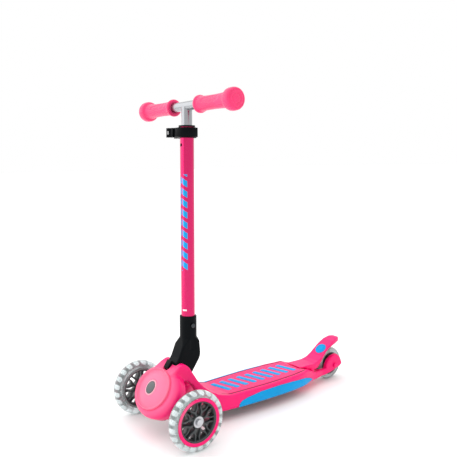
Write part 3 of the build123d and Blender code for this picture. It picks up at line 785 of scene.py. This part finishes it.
class SCOOTER_OT_rear_wheel(Piece, bpy.types.Operator):
    """Small clear rear wheel"""

    bl_idname = "scooter.rear_wheel"
    bl_label = "Rear wheel"

    def build(self, look, sizes):
        c = REAR_AXLE
        tread = [
            (-9.6, 27.2), (-10.8, 28.4), (-11, 30), (-11, 32.4), (-10.2, 35), (-8.4, 37.4), (-5.4, 39.3),
            (-2.6, 39.9), (0, 40), (2.6, 39.9), (5.4, 39.3), (8.4, 37.4), (10.2, 35), (11, 32.4), (11, 30),
            (10.8, 28.4), (9.6, 27.2),
        ]
        stand_in("rear_tyre", "rear_clear_tyre", turned(tread, c, 96), "rear_wheel", "tyre_clear")
        core = bevelled("rear_core", 0.5)
        stand_in("rear_core", "rear_spoked_core", core, "rear_wheel", "core_grey")


class SCOOTER_OT_brake(Piece, bpy.types.Operator):
    """Foot brake over the rear wheel, with its round badge"""

    bl_idname = "scooter.brake"
    bl_label = "Brake"

    def build(self, look, sizes):
        mesh = softened("rear_brake", 0.9, 14)
        stand_in("rear_brake", "brake_fender", mesh, "brake", "brake_pink")
        stand_in("brake_badge", "brake_disc", bevelled("brake_badge", 0.4), "brake", "trim_blue")


class SCOOTER_OT_stem(Piece, bpy.types.Operator):
    """Folding elbow, steering truck and small black mouldings"""

    bl_idname = "scooter.stem"
    bl_label = "Stem and truck"

    def build(self, look, sizes):
        elbow = softened("stem_elbow", 0.9, 7)
        stand_in("stem_elbow", "elbow_moulding", elbow, "stem", "black_plastic")
        truck = softened("steering_truck", 0.9, 5)
        stand_in("steering_truck", "truck_casting", truck, "truck", "black_plastic")
        tab = bevelled("fold_button", 0.9, 3)
        stand_in("fold_button", "release_tab", tab, "fold_button", "black_plastic")


class SCOOTER_OT_clamp(Piece, bpy.types.Operator):
    """Quick-release collar and lever at the top of the stem tube"""

    bl_idname = "scooter.clamp"
    bl_label = "Clamp"

    def build(self, look, sizes):
        collar = softened("clamp_collar", 0.45, 5)
        stand_in("clamp_collar", "collar_moulding", collar, "stem", "black_plastic")
        lever = bevelled("clamp_lever", 0.4)
        stand_in("clamp_lever", "lever_moulding", lever, "lever", "black_plastic")


class SCOOTER_OT_handlebar(Piece, bpy.types.Operator):
    """Soft grips with a flange, a slender body with oval pads, and round end knobs"""

    bl_idname = "scooter.handlebar"
    bl_label = "Handlebar"

    def build(self, look, sizes):
        body_line = (
            (54.5, 15.3), (62, 14.5), (76, 13.9), (100, 13.8), (120, 14.2), (134, 14.9), (142.5, 15.8),
        )
        for side, s in (("left", 1), ("right", -1)):
            prof = [
                (46.0, 9.7), (46.0, 15.6), (46.5, 16.8), (47.8, 17.6), (50.4, 17.6), (51.9, 17.1),
                (53.1, 16.2),
            ]
            for (x0, r0), (x1, r1) in zip(body_line, body_line[1:]):
                steps = max(1, round((x1 - x0) / 1.6))
                for i in range(steps):
                    prof.append((x0 + (x1 - x0) * i / steps, r0 + (r1 - r0) * i / steps))
            prof += [
                (143.6, 16.3), (145.0, 18.0), (146.6, 19.9), (149.0, 21.0), (152.0, 21.45), (157.0, 21.5),
                (161.0, 21.2), (163.6, 20.3), (165.2, 18.9), (165.9, 17.4), (165.3, 16.6), (165.3, 15.6),
                (166.1, 14.8), (166.4, 12.2), (166.3, 11.0), (165.5, 10.2), (165.5, 9.2), (166.3, 8.4),
                (166.5, 5.0), (166.5, 0),
            ]
            prof = [(s * x, r) for x, r in prof] + [(s * 156.4, 0), (s * 156.4, 9.7)]
            mesh = turned(prof, Vector((0, BAR.y, BAR.z)))
            self.pads(mesh, s, sizes.pad_depth)
            stand_in(f"grip_{side}", f"soft_grip_{side}", mesh, "handlebar", "grip_pink")

    def pads(self, mesh, s, depth):
        """Sinks a long oval pad into the front and the back of the grip's body."""
        for v in mesh.vertices:
            y, z = v.co.y - BAR.y, v.co.z - BAR.z
            r = math.hypot(y, z)
            if r < GRIP_SKIN_R:
                continue
            along = (v.co.x * s - PAD_MIDDLE) / PAD_HALF_L
            for facing in PAD_FACINGS:
                turn = math.atan2(z, y) - facing
                turn = (turn + math.pi) % (2 * math.pi) - math.pi
                away = math.hypot(along, turn / PAD_HALF_TURN)
                share = min(1.0, max(0.0, (1.0 - away) / PAD_EASE))
                share = share * share * (3 - 2 * share)
                v.co.y -= y / r * depth * share
                v.co.z -= z / r * depth * share


PLAIN = {
    "zinc_steel": (
        "kingpin", "kingpin_nut", "rear_spacers", "brake_spring", "steering_spring",
        "axle_spacers", "dynamo_magnets", "left_bearings", "right_bearings", "rear_bearings",
        "fold_pawl", "cam_pin", "snap_spring", "snap_button", "under_screws",
    ),
    "black_plastic": ("under_cover", "under_plate", "tube_bushing"),
    "button_grey": ("clamp_washer",),
    "brake_pink": ("brake_pin",),
    "nylon_white": ("kingpin_bushes",),
    "tube_pink": ("outer_tube",),
    "silver_tube": ("inner_tube",),
    "silver_bar": ("cross_tube",),
}


EASED = (
    ("front_axles", "axle_ends", "truck", "zinc_steel"),
    ("rear_axle", "rear_axle_bolt", "chassis", "brake_pink"),
    ("rear_axle_nut", "rear_lock_nut", "chassis", "zinc_steel"),
    ("pivot_pin", "fold_pin", "chassis", "zinc_steel"),
    ("holder_bolt", "holder_screw", "stem", "dark_zinc"),
    ("holder_nut", "holder_lock_nut", "stem", "dark_zinc"),
    ("clamp_bolt", "clamp_screw", "stem", "zinc_steel"),
    ("clamp_nut", "clamp_lock_nut", "stem", "zinc_steel"),
)


class SCOOTER_OT_hardware(Piece, bpy.types.Operator):
    """Finishes for the tubes, pins, bolts and other pieces that keep their made shape"""

    bl_idname = "scooter.hardware"
    bl_label = "Tubes and hardware"

    def build(self, look, sizes):
        for finish, names in PLAIN.items():
            for name in names:
                data = NODES[name].data
                data.materials.clear()
                data.materials.append(FINISH[finish])
        for node, name, body, finish in EASED:
            stand_in(node, name, bevelled(node, 0.5), body, finish)


class SCOOTER_OT_stage(Piece, bpy.types.Operator):
    """Pale floor, soft studio lights and the camera"""

    bl_idname = "scooter.stage"
    bl_label = "Stage"

    def build(self, look, sizes):
        scene = bpy.context.scene
        bm = bmesh.new()
        bmesh.ops.create_grid(bm, x_segments=2, y_segments=2, size=FLOOR_HALF)
        floor_mesh = from_bmesh(bm)
        floor = bpy.data.objects.new("floor", floor_mesh)
        scene.collection.objects.link(floor)
        kit = Finish("floor_pale", Roughness=0.9)
        kit.feed("Base Color", kit.blend(kit.noise(2.0), (0.93, 0.93, 0.93, 1), (0.95, 0.95, 0.95, 1)))
        floor_mesh.materials.append(kit.mat)
        world = bpy.data.worlds.new("studio")
        world.use_nodes = True
        world.node_tree.nodes["Background"].inputs["Color"].default_value = (1, 1, 1, 1)
        scene.world = world
        for name, place, aim, size, power in LIGHTS:
            lamp = bpy.data.lights.new(name, "AREA")
            lamp.shape = "RECTANGLE"
            lamp.size, lamp.size_y = size
            lamp.energy = power
            obj = bpy.data.objects.new(name, lamp)
            obj.location = place
            obj.rotation_euler = (Vector(place) - Vector(aim)).to_track_quat("Z", "Y").to_euler()
            scene.collection.objects.link(obj)
        sun = bpy.data.lights.new("overhead", "SUN")
        sun.energy = 1.05
        sun.angle = math.radians(100)
        overhead = bpy.data.objects.new("overhead", sun)
        scene.collection.objects.link(overhead)
        scene.camera = make_camera(scene)
        scene.view_settings.view_transform = "Standard"
        scene.view_settings.look = "None"


FLOOR_HALF = 40.0
SENSOR_MM = 36.0
LENS_MM = 47.13
# degrees: azimuth from the front towards the rider's left, elevation, roll
CAMERA_TURN = (53.23, 6.35, -1.02)
CAMERA_PLACE = Vector((1.03423, FOOT_Y - 0.65807, 0.55019))
LIGHTS = (
    ("key", (-1.7, -1.2, 1.3), (0, -0.1, 0.25), (1.8, 1.8), 10),
    ("front_box", (-0.7, -2.2, 0.9), (0, -0.15, 0.4), (1.1, 1.8), 8),
)


def make_camera(scene):
    data = bpy.data.cameras.new("camera")
    data.sensor_width = SENSOR_MM
    data.lens = LENS_MM
    cam = bpy.data.objects.new("camera", data)
    scene.collection.objects.link(cam)
    az, el, roll = (math.radians(v) for v in CAMERA_TURN)
    back = Vector((math.sin(az) * math.cos(el), -math.cos(az) * math.cos(el), math.sin(el)))
    right = Vector((0, 0, 1)).cross(back).normalized()
    up = back.cross(right)
    right, up = (
        right * math.cos(roll) + up * math.sin(roll),
        up * math.cos(roll) - right * math.sin(roll),
    )
    m = Matrix((right, up, back)).transposed().to_4x4()
    m.translation = CAMERA_PLACE
    cam.matrix_world = m
    return cam


class SCOOTER_PT_panel(bpy.types.Panel):
    bl_label = "Kick scooter"
    bl_idname = "SCOOTER_PT_panel"
    bl_space_type = "VIEW_3D"
    bl_region_type = "UI"
    bl_category = "Scooter"

    def draw(self, context):
        for group in (context.scene.scooter_look, context.scene.scooter_sizes):
            for key in group.bl_rna.properties.keys():
                if key not in ("rna_type", "name"):
                    self.layout.prop(group, key)
        for piece in PIECES:
            self.layout.operator(piece.bl_idname)


PIECES = (
    SCOOTER_OT_finishes,
    SCOOTER_OT_deck,
    SCOOTER_OT_front_face,
    SCOOTER_OT_trim,
    SCOOTER_OT_front_wheels,
    SCOOTER_OT_rear_wheel,
    SCOOTER_OT_brake,
    SCOOTER_OT_stem,
    SCOOTER_OT_clamp,
    SCOOTER_OT_handlebar,
    SCOOTER_OT_hardware,
    SCOOTER_OT_stage,
)
CLASSES = (ScooterLook, ScooterSizes) + PIECES + (SCOOTER_PT_panel,)


def register():
    for cls in CLASSES:
        bpy.utils.register_class(cls)
    bpy.types.Scene.scooter_look = bpy.props.PointerProperty(type=ScooterLook)
    bpy.types.Scene.scooter_sizes = bpy.props.PointerProperty(type=ScooterSizes)


def unregister():
    del bpy.types.Scene.scooter_look
    del bpy.types.Scene.scooter_sizes
    for cls in reversed(CLASSES):
        bpy.utils.unregister_class(cls)


def main():
    register()
    for piece in PIECES:
        group, name = piece.bl_idname.split(".")
        getattr(getattr(bpy.ops, group), name)()


if __name__ == "__main__":
    main()
